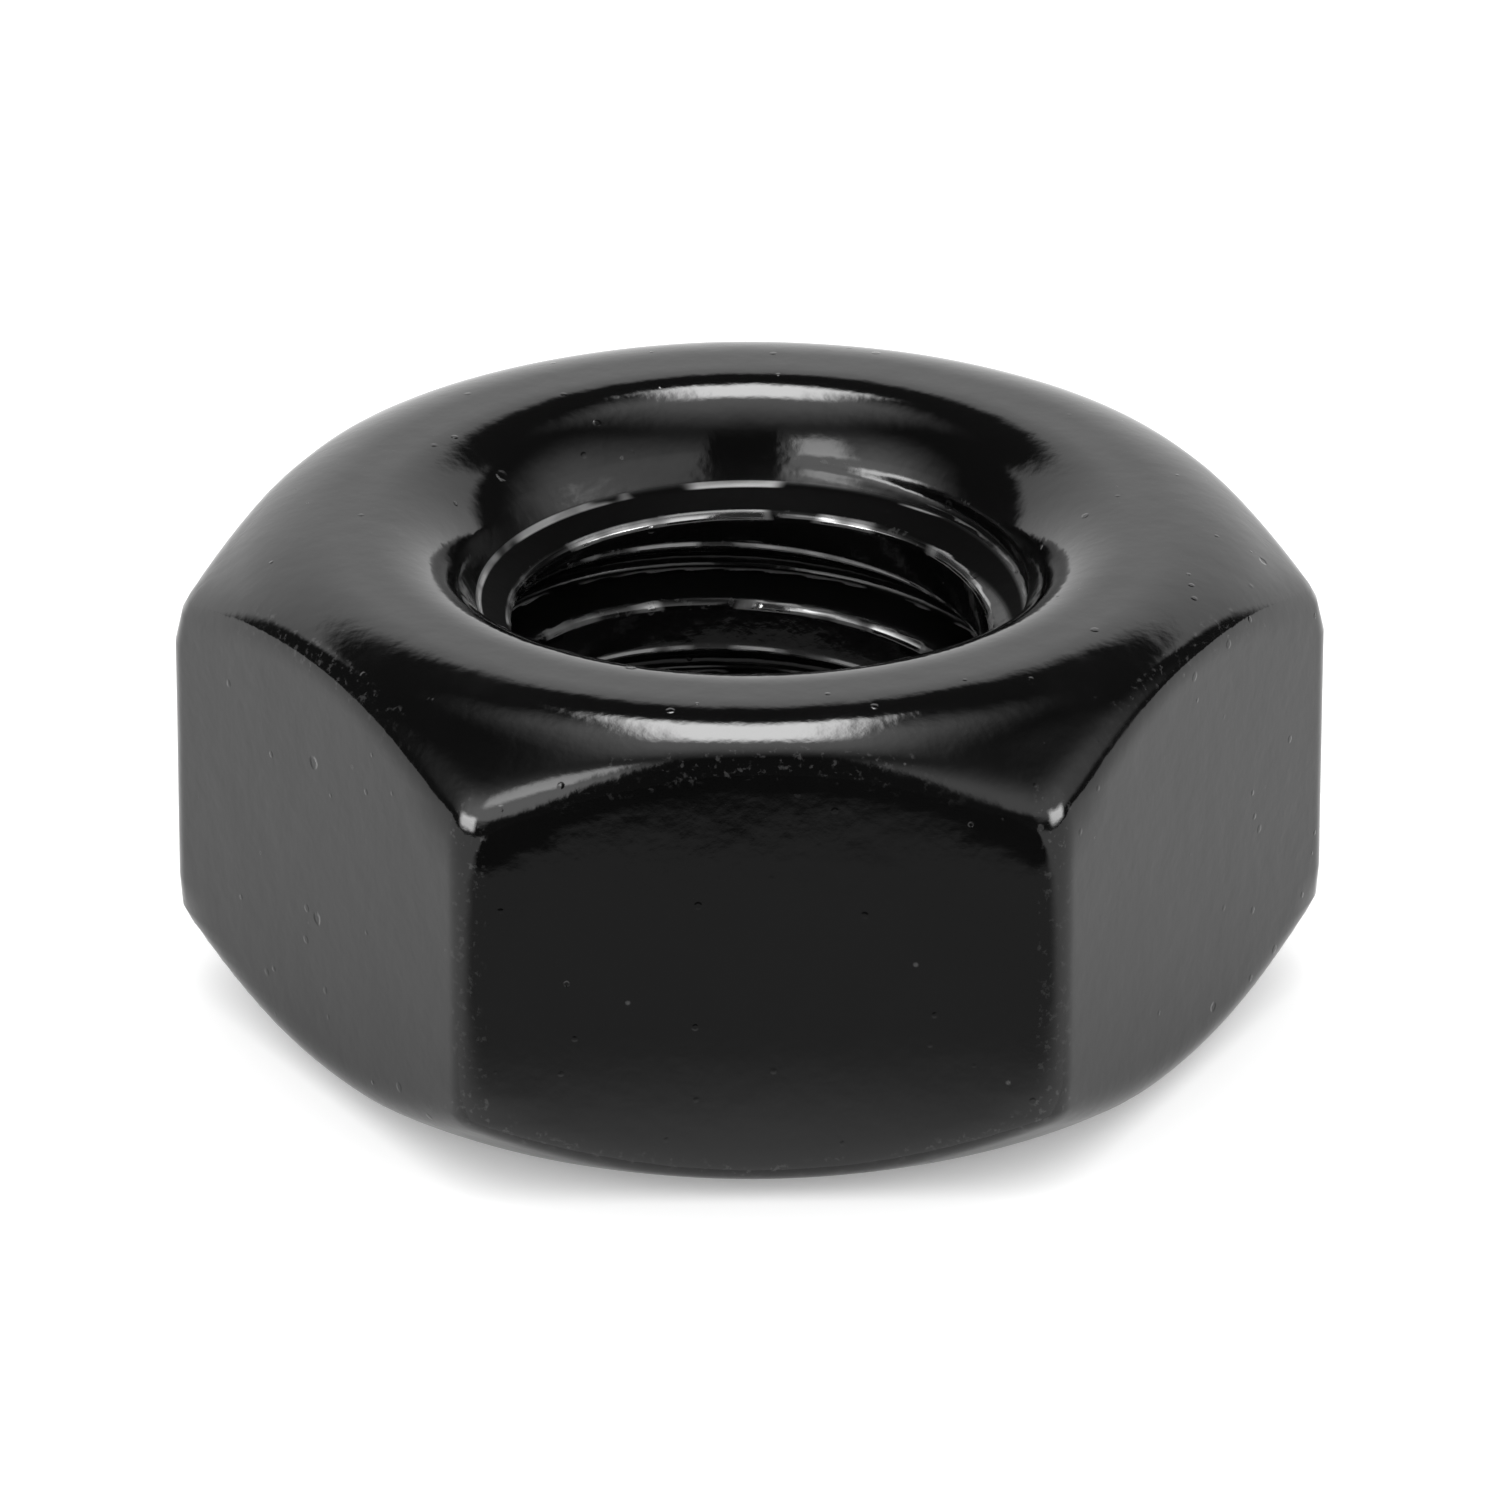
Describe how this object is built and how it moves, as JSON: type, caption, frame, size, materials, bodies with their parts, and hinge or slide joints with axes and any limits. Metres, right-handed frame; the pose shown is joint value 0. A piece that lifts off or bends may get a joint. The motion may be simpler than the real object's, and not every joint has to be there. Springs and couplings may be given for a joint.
{
  "type": "hex nut",
  "caption": "Double-chamfered hexagon nut with a right-hand 1/4-20 UNC thread, countersunk at both faces, in a glossy black coating.",
  "frame": {"origin": "centre of the lower bearing face, where the thread's axis meets it", "axes": "+Z along the thread's axis, out of the upper bearing face; one wrench flat faces -Y, and two corners lie on the X axis"},
  "size_m": [0.0126, 0.0112, 0.0056],
  "materials": {
    "black_coated_steel": "glossy black coating over steel"
  },
  "bodies": {
    "root": {"hex_nut": "black_coated_steel"}
  },
  "joints": []
}
